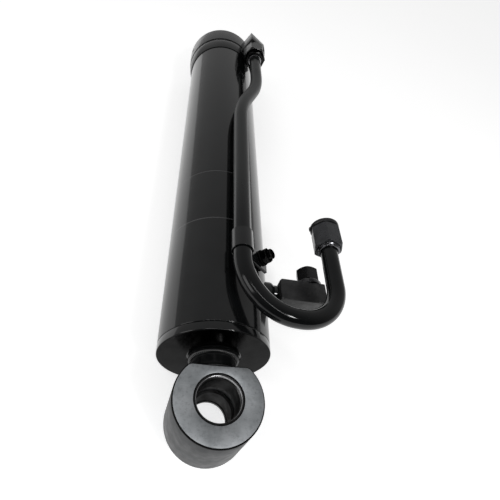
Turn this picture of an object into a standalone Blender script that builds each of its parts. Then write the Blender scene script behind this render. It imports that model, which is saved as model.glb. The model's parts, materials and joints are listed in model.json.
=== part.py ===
"""A double-acting welded hydraulic cylinder, rod retracted, as an assembly of separate solids.

Frame: origin at the centre of the base pin, +Y along the barrel towards the rod end, +Z along the pins.
Both ports face +Y: the base port beside the barrel, and the head port through a bent steel tube that
comes back along the barrel and ends in a swivel nut.  All sizes are in metres.
"""
import math

import bmesh
import bpy
from mathutils import Matrix, Vector

# ---------------------------------------------------------------- driving dimensions
GAP = 0.0003                # clearance that touching pieces keep
FINE = 40                   # sides of the large round pieces
MEDIUM = 24                 # sides of the seals and other inner rings
SMALL = 14                  # sides of fittings and fasteners

BARREL_R = 0.04445
BORE_R = 0.0381
ROD_R = 0.01905

BASE_FACE_Y = 0.0408        # flat end of the base cap, seen round the neck
BASE_SEAM_Y = 0.0476        # where the tube starts
BASE_SPIGOT_Y = 0.0600      # inner end of the base cap
SLEEVE_Y = (0.4950, 0.5156)    # the collar round the tube at the head port
SLEEVE_R = 0.0475
GLAND_NUT_R = 0.0485
TUBE_END_Y = 0.5395
GLAND_Y = (0.4780, 0.5392)
RIM_Y = 0.5455              # far face of the gland nut

NECK_R = 0.0172
EYE_R = 0.0320              # base eye
EYE_HALF_WIDTH = 0.0251
EYE_FLAT = 0.0236           # from the pin axis to the flat that the neck is welded to
ROD_EYE_R = 0.0300
ROD_EYE_HALF_WIDTH = 0.0220
ROD_EYE_FLAT = 0.0221
EYE_BORE_R = 0.0172
PIN_R = 0.0152              # bore of the bushes
BUSH_LENGTH = 0.0170
SEAL_HEIGHT = 0.0026
SEAL_INNER_R = 0.0159
FACE_RECESS = 0.0005        # how far a pin seal sits below the eye's face

ROD_NOSE_Y = 0.0620
PISTON_NUT_Y = (0.0780, 0.1060)
PISTON_Y = (0.1065, 0.1500)
PISTON_R = 0.0377
ROD_SPIGOT_R = 0.0125
ROD_EYE_Y = 0.5759

LINE_R = 0.0075             # transfer tube, outside
LINE_BORE_R = 0.0055
LINE_CORNERS = (            # where the straight runs of the transfer tube would meet
    (0.0378, 0.4745, 0.0484),
    (0.0374, 0.3930, 0.0486),
    (0.0118, 0.3165, 0.0592),
    (0.0088, 0.0758, 0.0596),
    (0.0346, 0.0500, 0.0568),
    (0.0885, 0.0503, 0.0502),
    (0.0902, 0.1340, 0.0502),
)
LINE_RADII = (0.150, 0.150, 0.052, 0.037, 0.037)
HEAD_PORT = (0.0378, 0.0484)        # x and z of the head port's axis
SWIVEL = (0.0902, 0.0502)           # x and z of the swivel nut's axis
HEX_NUT_R = 0.01386                 # 24 mm across flats, as a corner radius
SWIVEL_Y = (0.1270, 0.1500)
SWIVEL_R = 0.0138

HEAD_BLOCK_CENTRE = (0.0368, 0.0448)
HEAD_BLOCK_HALF = 0.0153
HEAD_BLOCK_TURN = math.radians(62.8)
HEAD_BLOCK_Y = (0.4934, 0.5154)
HEAD_PASSAGE_TURN = math.radians(52.0)      # direction of the oil passage from the head port, from +X
HEAD_PASSAGE_Y = 0.5040
HEAD_PASSAGE_R = 0.0040
ADAPTER_Y = 0.4756                  # near end of the head port adapter's round body

STUB_Y = 0.0997
STUB_Z = 0.0133
STUB_R = 0.0070
BASE_BLOCK_X = (0.0520, 0.0950)
BASE_BLOCK_Y = (0.0876, 0.1090)
BASE_BLOCK_Z = (0.0022, 0.0244)
BASE_PORT = (0.0838, 0.0133)        # x and z of the base port's axis

CLAMP_STRAP_Y = (0.1020, 0.1215)
CLAMP_EAR_Y = (0.1050, 0.1205)
CLAMP_STUD_Y = 0.1165
CLAMP_ANGLE = math.radians(50.0)    # direction of the clamp's stud round the barrel, from +X
CLAMP_RING = (0.0092, 0.0595)       # x and z of the transfer tube at the clamp

# ---------------------------------------------------------------- materials
COLOURS = {
    "black_paint": ((0.012, 0.013, 0.014), 0.22, 0.0),
    "cast_black": ((0.020, 0.020, 0.022), 0.62, 0.2),
    "satin_steel": ((0.300, 0.315, 0.345), 0.45, 0.9),
    "black_zinc": ((0.018, 0.018, 0.020), 0.38, 0.6),
    "chrome": ((0.750, 0.760, 0.780), 0.08, 1.0),
    "bare_steel": ((0.420, 0.420, 0.430), 0.35, 1.0),
    "bush_steel": ((0.060, 0.058, 0.056), 0.38, 1.0),
    "rubber": ((0.020, 0.020, 0.020), 0.75, 0.0),
    "seal_polymer": ((0.080, 0.180, 0.140), 0.55, 0.0),
    "plastic": ((0.015, 0.015, 0.016), 0.50, 0.0),
}


def make_material(name):
    colour, roughness, metallic = COLOURS[name]
    material = bpy.data.materials.new(name)
    material.use_nodes = True
    shader = material.node_tree.nodes["Principled BSDF"]
    shader.inputs["Base Color"].default_value = (*colour, 1.0)
    shader.inputs["Roughness"].default_value = roughness
    shader.inputs["Metallic"].default_value = metallic
    return material


# ---------------------------------------------------------------- building tools
def frame_along(axis, centre):
    """A frame whose local Z runs along the named axis, placed at the centre."""
    turns = {
        "X": Matrix(((0, 0, 1), (1, 0, 0), (0, 1, 0))),
        "Y": Matrix(((0, 1, 0), (0, 0, 1), (1, 0, 0))),
        "Z": Matrix.Identity(3),
    }
    return Matrix.Translation(centre) @ turns[axis].to_4x4()


def frame_radial(angle, station):
    """A frame on the barrel's axis: local Z points outward at the angle, local X runs along the barrel."""
    out = Vector((math.cos(angle), 0.0, math.sin(angle)))
    along = Vector((0.0, 1.0, 0.0))
    across = out.cross(along)
    turn = Matrix((along, across, out)).transposed().to_4x4()
    return Matrix.Translation((0.0, station, 0.0)) @ turn


def finish(name, bm, material, frame, origin=(0.0, 0.0, 0.0)):
    """Turn a bmesh, built in the frame's local axes, into a named object with its origin where asked."""
    bm.transform(frame)
    bm.transform(Matrix.Translation(-Vector(origin)))
    bmesh.ops.remove_doubles(bm, verts=bm.verts, dist=1e-7)
    bmesh.ops.recalc_face_normals(bm, faces=bm.faces)
    mesh = bpy.data.meshes.new(name)
    bm.to_mesh(mesh)
    bm.free()
    mesh.shade_smooth()
    mesh.set_sharp_from_angle(angle=math.radians(35.0))
    mesh.materials.append(MATERIALS[material])
    part = bpy.data.objects.new(name, mesh)
    part.location = origin
    bpy.context.scene.collection.objects.link(part)
    return part


def turned(name, profile, material, axis="Y", centre=(0.0, 0.0, 0.0), sides=MEDIUM, origin=(0.0, 0.0, 0.0)):
    """A turned piece: the closed profile of (radius, station) points spun round the axis."""
    bm = bmesh.new()
    verts = [bm.verts.new((radius, 0.0, station)) for radius, station in profile]
    edges = [bm.edges.new((verts[i - 1], verts[i])) for i in range(len(verts))]
    if all(radius > 0.0 for radius, station in profile):
        spun = edges
    else:
        spun = [edge for edge in edges if any(vert.co.x > 0.0 for vert in edge.verts)]
    bmesh.ops.spin(bm, geom=spun, cent=(0, 0, 0), axis=(0, 0, 1), angle=2.0 * math.pi,
                   steps=sides, use_merge=True, use_duplicate=False)
    bmesh.ops.remove_doubles(bm, verts=bm.verts, dist=1e-7)
    loose = [edge for edge in bm.edges if not edge.link_faces]
    bmesh.ops.delete(bm, geom=loose, context="EDGES")
    return finish(name, bm, material, frame_along(axis, centre), origin)


def ring(name, inner, outer, start, end, material, chamfer=0.0, **options):
    """A plain ring between two radii and two stations, with its outer corners broken by a chamfer."""
    if chamfer:
        profile = [(inner, start), (outer - chamfer, start), (outer, start + chamfer),
                   (outer, end - chamfer), (outer - chamfer, end), (inner, end)]
    else:
        profile = [(inner, start), (outer, start), (outer, end), (inner, end)]
    return turned(name, profile, material, **options)


def prism(name, outline, start, end, material, frame, chamfer=0.0, origin=(0.0, 0.0, 0.0)):
    """An outline in the frame's local XY plane, extruded along local Z, with chamfered end edges."""
    bm = bmesh.new()
    if chamfer:
        layers = [(start, chamfer), (start + chamfer, 0.0), (end - chamfer, 0.0), (end, chamfer)]
    else:
        layers = [(start, 0.0), (end, 0.0)]
    loops = []
    for height, inset in layers:
        loops.append([bm.verts.new((x, y, height)) for x, y in inset_outline(outline, inset)])
    count = len(outline)
    for low, high in zip(loops, loops[1:]):
        for i in range(count):
            bm.faces.new((low[i - 1], low[i], high[i], high[i - 1]))
    bm.faces.new(reversed(loops[0]))
    bm.faces.new(loops[-1])
    return finish(name, bm, material, frame, origin)


def inset_outline(outline, inset):
    """Move each side of a convex, anticlockwise outline inward by the inset."""
    if not inset:
        return list(outline)
    moved = []
    count = len(outline)
    for i in range(count):
        before = Vector(outline[i - 1])
        here = Vector(outline[i])
        after = Vector(outline[(i + 1) % count])
        side_in = (here - before).normalized()
        side_out = (after - here).normalized()
        normal = Vector((-side_in.y, side_in.x)) + Vector((-side_out.y, side_out.x))
        normal.normalize()
        spread = normal.dot(Vector((-side_in.y, side_in.x)))
        moved.append(tuple(here + normal * (inset / spread)))
    return moved


def hexagon(corner_radius, turn=0.0):
    return [(corner_radius * math.cos(turn + k * math.pi / 3.0),
             corner_radius * math.sin(turn + k * math.pi / 3.0)) for k in range(6)]


def circle(radius, sides):
    return [(radius * math.cos(2.0 * math.pi * k / sides),
             radius * math.sin(2.0 * math.pi * k / sides)) for k in range(sides)]


def rectangle(half_x, half_y, corner=0.0):
    """A rectangle round the origin, anticlockwise, with its corners cut at 45 degrees."""
    if not corner:
        return [(-half_x, -half_y), (half_x, -half_y), (half_x, half_y), (-half_x, half_y)]
    points = []
    for sign_x, sign_y, first in ((1, -1, "x"), (1, 1, "y"), (-1, 1, "x"), (-1, -1, "y")):
        near_y = (sign_x * (half_x - corner), sign_y * half_y)
        near_x = (sign_x * half_x, sign_y * (half_y - corner))
        points += [near_y, near_x] if first == "x" else [near_x, near_y]
    return points


def cutter(name, shape):
    """Mark a solid as a cutter, which is no part of the cylinder."""
    shape.name = name
    shape.hide_render = True
    shape.display_type = "WIRE"
    return shape


def cut(target, tool):
    modifier = target.modifiers.new("cut_" + tool.name, "BOOLEAN")
    modifier.operation = "DIFFERENCE"
    modifier.solver = "EXACT"
    modifier.object = tool


def drill(target, start, end, radius, sides=SMALL):
    """Drill a round hole through the target between two points."""
    start = Vector(start)
    end = Vector(end)
    frame = Matrix.Translation(start) @ (end - start).to_track_quat("Z", "Y").to_matrix().to_4x4()
    bm = bmesh.new()
    bmesh.ops.create_cone(bm, cap_ends=True, segments=sides, radius1=radius, radius2=radius,
                          depth=(end - start).length,
                          matrix=Matrix.Translation((0, 0, (end - start).length / 2.0)))
    tool = finish("drill", bm, "bare_steel", frame)
    cut(target, cutter("cutter_" + target.name, tool))


def drill_head_passage(target, start_r, end_r):
    """Drill the target's share of the passage between the head port and the inside of the barrel."""
    out = Vector((math.cos(HEAD_PASSAGE_TURN), 0.0, math.sin(HEAD_PASSAGE_TURN)))
    middle = Vector((0.0, HEAD_PASSAGE_Y, 0.0))
    drill(target, middle + out * start_r, middle + out * end_r, HEAD_PASSAGE_R)


def rounded_path(corners, radii, step=math.radians(8.0)):
    """Straight runs between the corners, joined by arcs of the given bend radii."""
    points = [Vector(corners[0])]
    for before, here, after, radius in zip(corners, corners[1:], corners[2:], radii):
        here = Vector(here)
        back = (Vector(before) - here).normalized()
        ahead = (Vector(after) - here).normalized()
        turn = math.pi - back.angle(ahead)
        middle = (back + ahead).normalized()
        centre = here + middle * (radius / math.cos(turn / 2.0))
        first = here + back * (radius * math.tan(turn / 2.0)) - centre
        last = here + ahead * (radius * math.tan(turn / 2.0)) - centre
        count = max(2, round(turn / step))
        for k in range(count + 1):
            angle = turn * k / count
            points.append(centre + (first * math.sin(turn - angle) + last * math.sin(angle)) / math.sin(turn))
    points.append(Vector(corners[-1]))
    return points


def pipe(name, path, outer, inner, material, sides=14):
    """A hollow tube, open at both ends, swept along the path without twisting."""
    bm = bmesh.new()
    rings = []
    side = Vector((0.0, 0.0, 1.0))
    for i, point in enumerate(path):
        ahead = (path[min(i + 1, len(path) - 1)] - path[max(i - 1, 0)]).normalized()
        side = (side - ahead * side.dot(ahead)).normalized()
        up = ahead.cross(side)
        spokes = [side * math.cos(k * 2.0 * math.pi / sides) + up * math.sin(k * 2.0 * math.pi / sides)
                  for k in range(sides)]
        rings.append(([bm.verts.new(point + spoke * outer) for spoke in spokes],
                      [bm.verts.new(point + spoke * inner) for spoke in spokes]))
    for k in range(sides):
        for (outer_a, inner_a), (outer_b, inner_b) in zip(rings, rings[1:]):
            bm.faces.new((outer_a[k - 1], outer_a[k], outer_b[k], outer_b[k - 1]))
            bm.faces.new((inner_a[k], inner_a[k - 1], inner_b[k - 1], inner_b[k]))
        for outer_end, inner_end in (rings[0], rings[-1]):
            bm.faces.new((outer_end[k - 1], outer_end[k], inner_end[k], inner_end[k - 1]))
    return finish(name, bm, material, Matrix.Identity(4))


# ---------------------------------------------------------------- barrel and base end
def build_barrel():
    edge = 0.0006
    barrel = turned("barrel_tube", [
        (BORE_R, BASE_SEAM_Y + GAP),
        (BARREL_R - edge, BASE_SEAM_Y + GAP),
        (BARREL_R, BASE_SEAM_Y + GAP + edge),
        (BARREL_R, TUBE_END_Y),
        (BORE_R, TUBE_END_Y),
    ], "black_paint", sides=FINE)
    drill(barrel, (0.0, STUB_Y, STUB_Z), (0.06, STUB_Y, STUB_Z), 0.0045)
    drill_head_passage(barrel, 0.0, 0.06)
    return barrel


def build_base_cap():
    """The disc that closes the barrel, with its spigot, and the neck that the base eye is welded to."""
    edge = 0.0006
    weld = 0.0032
    turned("base_cap", [
        (0.0, EYE_FLAT + GAP),
        (NECK_R + 0.0016, EYE_FLAT + GAP),
        (NECK_R + 0.0016, EYE_FLAT + 0.0022),
        (NECK_R, EYE_FLAT + 0.0042),
        (NECK_R, BASE_FACE_Y - weld),
        (NECK_R + weld, BASE_FACE_Y),
        (BARREL_R - edge, BASE_FACE_Y),
        (BARREL_R, BASE_FACE_Y + edge),
        (BARREL_R, BASE_SEAM_Y - edge),
        (BARREL_R - edge, BASE_SEAM_Y),
        (BORE_R - GAP, BASE_SEAM_Y),
        (BORE_R - GAP, BASE_SPIGOT_Y - 0.001),
        (BORE_R - GAP - 0.001, BASE_SPIGOT_Y),
        (0.0, BASE_SPIGOT_Y),
    ], "black_paint", sides=FINE)


def eye_outline(radius, flat, corner=0.004, arc_sides=34):
    """A round eye seen along its pin, cut flat on the +Y side, with rounded corners at the flat."""
    # the corner circle touches the flat and, from inside, the eye's own circle
    centre_y = flat - corner
    centre_x = math.sqrt((radius - corner) ** 2 - centre_y ** 2)
    meet = math.atan2(centre_y, centre_x)
    points = []
    for k in range(5):
        angle = meet + (math.pi / 2.0 - meet) * k / 4
        points.append((centre_x + corner * math.cos(angle), centre_y + corner * math.sin(angle)))
    points += [(-x, y) for x, y in reversed(points)]
    sweep = math.pi + 2.0 * meet
    for k in range(1, arc_sides):
        angle = math.pi - meet + sweep * k / arc_sides
        points.append((radius * math.cos(angle), radius * math.sin(angle)))
    return points


def build_eye(prefix, radius, half_width, flat, centre_y, facing):
    """An eye with its two bushes and its two pin seals; facing is +1 where the flat looks along +Y."""
    turn = Matrix.Identity(4) if facing > 0 else Matrix.Rotation(math.pi, 4, "Z")
    frame = Matrix.Translation((0.0, centre_y, 0.0)) @ turn
    eye = prism(prefix + "_eye", eye_outline(radius, flat), -half_width, half_width, "satin_steel",
                frame, chamfer=0.0007)
    drill(eye, (0.0, centre_y, -0.05), (0.0, centre_y, 0.05), EYE_BORE_R, sides=MEDIUM)
    for side, sign in (("upper", 1.0), ("lower", -1.0)):
        seal_top = half_width - FACE_RECESS
        bush_top = seal_top - SEAL_HEIGHT - GAP
        spans = sorted((sign * seal_top, sign * (seal_top - SEAL_HEIGHT)))
        ring(f"{prefix}_seal_{side}", SEAL_INNER_R, EYE_BORE_R - GAP, *spans, "rubber",
             axis="Z", centre=(0.0, centre_y, 0.0))
        spans = sorted((sign * bush_top, sign * (bush_top - BUSH_LENGTH)))
        ring(f"{prefix}_bush_{side}", PIN_R, EYE_BORE_R - GAP, *spans, "bush_steel",
             axis="Z", centre=(0.0, centre_y, 0.0))


# ---------------------------------------------------------------- head end and gland
def build_head():
    edge = 0.0012
    sleeve = turned("head_sleeve", [
        (BARREL_R + GAP, SLEEVE_Y[0]),
        (SLEEVE_R - 0.0010, SLEEVE_Y[0]),
        (SLEEVE_R, SLEEVE_Y[0] + 0.0010),
        (SLEEVE_R, SLEEVE_Y[1] - 0.0004),
        (SLEEVE_R - 0.0004, SLEEVE_Y[1]),
        (BARREL_R + GAP, SLEEVE_Y[1]),
    ], "black_paint", sides=FINE)
    drill_head_passage(sleeve, 0.02, 0.06)

    nut_start = SLEEVE_Y[1] + 0.0004
    nut = turned("gland_nut", [
        (BARREL_R + GAP, nut_start),
        (SLEEVE_R, nut_start),
        (GLAND_NUT_R, nut_start + 0.0010),
        (GLAND_NUT_R, RIM_Y - edge),
        (GLAND_NUT_R - edge, RIM_Y),
        (0.0240, RIM_Y),
        (0.0240, TUBE_END_Y + GAP),
        (BARREL_R + GAP, TUBE_END_Y + GAP),
    ], "black_paint", sides=FINE)
    for angle in (math.radians(165.0), math.radians(345.0)):
        out = Vector((math.cos(angle), 0.0, math.sin(angle)))
        hole = Vector((0.0, 0.5320, 0.0)) + out * 0.0462
        drill(nut, hole, hole + out * 0.006, 0.0032, sides=16)

    land = BORE_R - GAP
    bore = ROD_R + GAP
    gland_nose_r = 0.0335
    turned("gland", [
        (bore, GLAND_Y[0]),
        (gland_nose_r - 0.001, GLAND_Y[0]),
        (gland_nose_r, GLAND_Y[0] + 0.001),
        (gland_nose_r, 0.5095),
        (land, 0.5095),
        (land, 0.5200),
        (0.0343, 0.5200),
        (0.0343, 0.5260),
        (land, 0.5260),
        (land, GLAND_Y[1]),
        (0.0236, GLAND_Y[1]),
        (0.0236, RIM_Y - 0.0006),
        (0.0222, RIM_Y - 0.0006),
        (0.0222, RIM_Y - 0.0080),
        (bore, RIM_Y - 0.0080),
        (bore, 0.5310),
        (0.0250, 0.5310),
        (0.0250, 0.5230),
        (bore, 0.5230),
        (bore, 0.5130),
        (0.0245, 0.5130),
        (0.0245, 0.5070),
        (bore, 0.5070),
        (bore, 0.4980),
        (0.0221, 0.4980),
        (0.0221, 0.4850),
        (bore, 0.4850),
    ], "bare_steel")
    seal = ROD_R + 0.0002
    ring("rod_guide_ring", seal, 0.0221 - GAP, 0.4853, 0.4977, "seal_polymer")
    ring("rod_buffer_seal", seal, 0.0245 - GAP, 0.5073, 0.5127, "seal_polymer", chamfer=0.0008)
    ring("rod_seal", seal, 0.0250 - GAP, 0.5233, 0.5307, "seal_polymer", chamfer=0.0010)
    turned("rod_wiper", [
        (ROD_R + 0.0010, RIM_Y - 0.0077),
        (0.0222 - GAP, RIM_Y - 0.0077),
        (0.0222 - GAP, RIM_Y - 0.0008),
        (0.0208, RIM_Y - 0.0002),
        (seal, RIM_Y - 0.0002),
        (seal, RIM_Y - 0.0022),
    ], "rubber")
    ring("gland_o_ring", 0.0343 + GAP, land, 0.5203, 0.5238, "rubber", chamfer=0.0010)
    ring("gland_backup_ring", 0.0343 + GAP, land, 0.5242, 0.5257, "plastic")


# ---------------------------------------------------------------- rod and piston
def build_rod():
    spigot_end = PISTON_Y[1] + GAP
    turned("rod", [
        (0.0, ROD_NOSE_Y),
        (ROD_SPIGOT_R - 0.0020, ROD_NOSE_Y),
        (ROD_SPIGOT_R, ROD_NOSE_Y + 0.0020),
        (ROD_SPIGOT_R, spigot_end),
        (ROD_R - 0.0015, spigot_end),
        (ROD_R, spigot_end + 0.0040),
        (ROD_R, ROD_EYE_Y - ROD_EYE_FLAT - GAP),
        (0.0, ROD_EYE_Y - ROD_EYE_FLAT - GAP),
    ], "chrome", sides=32)
    bore = ROD_SPIGOT_R + GAP
    turned("piston", [
        (bore, PISTON_Y[0]),
        (PISTON_R - 0.001, PISTON_Y[0]),
        (PISTON_R, PISTON_Y[0] + 0.001),
        (PISTON_R, 0.1110),
        (0.0350, 0.1110),
        (0.0350, 0.1190),
        (PISTON_R, 0.1190),
        (PISTON_R, 0.1240),
        (0.0312, 0.1240),
        (0.0312, 0.1330),
        (PISTON_R, 0.1330),
        (PISTON_R, 0.1380),
        (0.0350, 0.1380),
        (0.0350, 0.1460),
        (PISTON_R, 0.1460),
        (PISTON_R, PISTON_Y[1] - 0.001),
        (PISTON_R - 0.001, PISTON_Y[1]),
        (bore, PISTON_Y[1]),
        (bore, 0.1300),
        (0.0155, 0.1300),
        (0.0155, 0.1265),
        (bore, 0.1265),
    ], "bare_steel")
    rim = BORE_R - GAP
    for label, start in (("rear", 0.1113), ("front", 0.1383)):
        ring("piston_wear_ring_" + label, 0.0350 + GAP, rim, start, start + 0.0074, "seal_polymer")
    ring("piston_seal", 0.0346, rim, 0.1243, 0.1327, "seal_polymer", chamfer=0.0006)
    ring("piston_energiser", 0.0312 + GAP, 0.0343, 0.1250, 0.1320, "rubber", chamfer=0.0008)
    ring("piston_bore_o_ring", bore, 0.0155 - GAP, 0.1268, 0.1297, "rubber", sides=32)
    nut = prism("piston_nut", hexagon(0.0237), *PISTON_NUT_Y, "bare_steel",
                frame_along("Y", (0.0, 0.0, 0.0)), chamfer=0.0012)
    drill(nut, (0.0, 0.05, 0.0), (0.0, 0.15, 0.0), bore, sides=32)


# ---------------------------------------------------------------- base port
def build_base_port():
    boss = turned("base_port_stub", [
        (0.0045, 0.0300),
        (0.0092, 0.0300),
        (0.0092, 0.0460),
        (STUB_R + 0.0006, 0.0476),
        (STUB_R, 0.0481),
        (STUB_R, BASE_BLOCK_X[0] - GAP),
        (0.0045, BASE_BLOCK_X[0] - GAP),
    ], "black_paint", axis="X", centre=(0.0, STUB_Y, STUB_Z), sides=SMALL)
    saddle = turned("saddle", [(0.0, 0.05), (BARREL_R + GAP, 0.05), (BARREL_R + GAP, 0.16), (0.0, 0.16)],
                    "bare_steel", sides=FINE)
    cut(boss, cutter("cutter_stub_saddle", saddle))

    middle = [(a + b) / 2.0 for a, b in (BASE_BLOCK_X, BASE_BLOCK_Y, BASE_BLOCK_Z)]
    half = [(b - a) / 2.0 for a, b in (BASE_BLOCK_X, BASE_BLOCK_Y, BASE_BLOCK_Z)]
    block = prism("base_port_block", rectangle(half[0], half[1], corner=0.0025), -half[2], half[2],
                  "cast_black", Matrix.Translation(middle), chamfer=0.0015)
    port = (BASE_PORT[0], STUB_Y, BASE_PORT[1])
    drill(block, (BASE_BLOCK_X[0] - 0.01, STUB_Y, STUB_Z), (BASE_PORT[0] + 0.003, STUB_Y, STUB_Z), 0.0045)
    drill(block, (port[0], BASE_BLOCK_Y[0] + 0.006, port[2]), (port[0], BASE_BLOCK_Y[1] + 0.01, port[2]),
          0.0078)

    face = BASE_BLOCK_Y[1] + GAP
    nose_end = face + 0.0150
    turned("base_port_adapter", [
        (0.0045, face - 0.0080),
        (0.0075, face - 0.0080),
        (0.0075, face),
        (0.0118, face),
        (0.0118, face + 0.0045),
        (0.0066, face + 0.0045),
        (0.0066, nose_end),
        (0.0045, nose_end),
    ], "black_zinc", centre=(BASE_PORT[0], 0.0, BASE_PORT[1]), sides=SMALL)
    cap = prism("base_port_cap", hexagon(0.0109, math.radians(40.0)), face + 0.0048, nose_end + 0.0045,
                "black_zinc", frame_along("Y", (BASE_PORT[0], 0.0, BASE_PORT[1])), chamfer=0.0006)
    drill(cap, (BASE_PORT[0], face, BASE_PORT[1]), (BASE_PORT[0], nose_end + GAP, BASE_PORT[1]), 0.0069)


# ---------------------------------------------------------------- head port and transfer tube
def build_head_port():
    x, z = HEAD_BLOCK_CENTRE
    half = HEAD_BLOCK_HALF
    turn = Matrix.Rotation(-HEAD_BLOCK_TURN, 4, "Y")
    corner = 0.0060
    outline = [(-half, -half), (half, -half), (half, half - corner), (half - corner, half), (-half, half)]
    # local X of the outline points away from the barrel, local Y lies across it, local Z along the barrel
    upright = Matrix(((1, 0, 0, 0), (0, 0, 1, 0), (0, -1, 0, 0), (0, 0, 0, 1)))
    frame = Matrix.Translation((x, 0.0, z)) @ turn @ upright
    block = prism("head_port_block", outline, *HEAD_BLOCK_Y, "cast_black", frame, chamfer=0.0007)
    saddle = turned("saddle", [(0.0, 0.48), (SLEEVE_R + GAP, 0.48), (SLEEVE_R + GAP, 0.53), (0.0, 0.53)],
                    "bare_steel", sides=64)
    cut(block, cutter("cutter_block_saddle", saddle))
    port_x, port_z = HEAD_PORT
    drill(block, (port_x, 0.48, port_z), (port_x, 0.5095, port_z), 0.0081)
    drill_head_passage(block, 0.03, 0.06)

    face = HEAD_BLOCK_Y[0] - GAP
    turned("head_port_adapter", [
        (0.0045, face + 0.0070),
        (0.0045, 0.4752),
        (LINE_R + GAP, 0.4752),
        (LINE_R + GAP, 0.4716),
        (0.0090, 0.4716),
        (0.0090, ADAPTER_Y),
        (0.0148, ADAPTER_Y),
        (0.0156, ADAPTER_Y + 0.0008),
        (0.0156, face),
        (0.0078, face),
        (0.0078, face + 0.0070),
    ], "cast_black", centre=(port_x, 0.0, port_z), sides=24)
    nut = prism("head_tube_nut", hexagon(HEX_NUT_R, math.radians(73.0)), 0.4655, ADAPTER_Y - GAP,
                "black_zinc", frame_along("Y", (port_x, 0.0, port_z)), chamfer=0.0010)
    drill(nut, (port_x, 0.46, port_z), (port_x, 0.49, port_z), LINE_R + 2.0 * GAP)
    drill(nut, (port_x, 0.4682, port_z), (port_x, 0.49, port_z), 0.0093)
    ring("head_tube_ferrule", LINE_R + GAP, 0.0090, 0.4686, 0.4712, "bare_steel",
         centre=(port_x, 0.0, port_z), sides=SMALL)


def build_line():
    pipe("transfer_tube", rounded_path(LINE_CORNERS, LINE_RADII), LINE_R, LINE_BORE_R, "black_paint")
    x, z = SWIVEL
    start, end = SWIVEL_Y
    turned("line_end_sleeve", [
        (LINE_R + 2.0 * GAP, start - 0.0030),
        (0.0092, start - 0.0030),
        (0.0098, start - 0.0024),
        (0.0098, start + 0.0010),
        (0.0092, start + 0.0020),
        (0.0092, start + 0.0070),
        (LINE_R + 2.0 * GAP, start + 0.0070),
    ], "bare_steel", centre=(x, 0.0, z), sides=SMALL)
    axis = (x, (start + end) / 2.0, z)
    nut = prism("swivel_nut", hexagon(SWIVEL_R, math.radians(40.0)), start, end, "black_zinc",
                frame_along("Y", (x, 0.0, z)), chamfer=0.0009, origin=axis)
    drill(nut, (x, start - 0.01, z), (x, end + 0.01, z), 0.0101)
    plug_face = end + GAP
    turned("line_plug", [
        (0.0, plug_face + 0.0038),
        (0.0126, plug_face + 0.0038),
        (0.0132, plug_face + 0.0032),
        (0.0132, plug_face),
        (0.0098, plug_face),
        (0.0098, end - 0.0100),
        (0.0086, end - 0.0120),
        (0.0, end - 0.0120),
    ], "plastic", centre=(x, 0.0, z), sides=24, origin=axis)


# ---------------------------------------------------------------- tube clamp
def build_clamp():
    """A P-clamp: a strap round the transfer tube whose ear is held by a stud welded to the barrel."""
    frame = frame_radial(CLAMP_ANGLE, CLAMP_STUD_Y)
    out = frame.to_3x3() @ Vector((0.0, 0.0, 1.0))
    foot = frame.translation
    ear_low = 0.0470
    ear_high = 0.0496
    hole_r = 0.0048
    pad = prism("clamp_pad", rectangle(0.0072, 0.0072, corner=0.0015), 0.040, ear_low - GAP,
                "black_paint", frame)
    saddle = turned("saddle", [(0.0, 0.09), (BARREL_R + GAP, 0.09), (BARREL_R + GAP, 0.14), (0.0, 0.14)],
                    "bare_steel", sides=FINE)
    cut(pad, cutter("cutter_pad_saddle", saddle))
    drill(pad, foot + out * 0.03, foot + out * 0.06, hole_r)
    prism("clamp_stud", circle(0.0045, SMALL), 0.0450, 0.0606, "black_zinc", frame, chamfer=0.0007)
    washer = prism("clamp_washer", circle(0.0070, 20), ear_high + GAP, ear_high + 0.0018, "black_zinc", frame)
    drill(washer, foot + out * 0.04, foot + out * 0.07, hole_r)
    nut = prism("clamp_nut", hexagon(0.0069, math.radians(20.0)), ear_high + 0.0021, ear_high + 0.0073,
                "black_zinc", frame, chamfer=0.0005)
    drill(nut, foot + out * 0.04, foot + out * 0.07, hole_r)

    # the strap: a ring round the tube, joined to a flat ear that reaches past the stud
    x, z = CLAMP_RING
    strap_inner = LINE_R + GAP
    strap_outer = strap_inner + 0.0010
    strap = ring("clamp_strap", strap_inner, strap_outer, *CLAMP_STRAP_Y, "black_paint",
                 centre=(x, 0.0, z), sides=SMALL)
    ring_place = frame.inverted() @ Vector((x, CLAMP_STUD_Y, z))
    side = math.copysign(1.0, ring_place.y)
    rise = ring_place.z - ear_low
    reach = abs(ring_place.y) - math.sqrt(strap_outer ** 2 - rise ** 2) + 0.0003
    ends = sorted((-side * 0.0072, side * reach))
    ear_start = CLAMP_EAR_Y[0] - CLAMP_STUD_Y
    ear_end = CLAMP_EAR_Y[1] - CLAMP_STUD_Y
    outline = [(ear_start, ends[0]), (ear_end, ends[0]), (ear_end, ends[1]), (ear_start, ends[1])]
    ear = prism("clamp_ear", outline, ear_low, ear_high, "black_paint", frame)
    join = strap.modifiers.new("ear", "BOOLEAN")
    join.operation = "UNION"
    join.solver = "EXACT"
    join.object = cutter("guide_ear", ear)
    drill(strap, foot + out * 0.04, foot + out * 0.07, hole_r)


for leftover in list(bpy.data.objects):
    bpy.data.objects.remove(leftover)
MATERIALS = {name: make_material(name) for name in COLOURS}
build_barrel()
build_base_cap()
build_eye("base", EYE_R, EYE_HALF_WIDTH, EYE_FLAT, 0.0, 1)
build_head()
build_rod()
build_eye("rod", ROD_EYE_R, ROD_EYE_HALF_WIDTH, ROD_EYE_FLAT, ROD_EYE_Y, -1)
build_base_port()
build_head_port()
build_line()
build_clamp()
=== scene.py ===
"""Looks for a hydraulic cylinder: finer surfaces, finishes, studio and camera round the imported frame."""

import json
import math

import bmesh
import bpy
from mathutils import Matrix, Vector, noise


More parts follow.
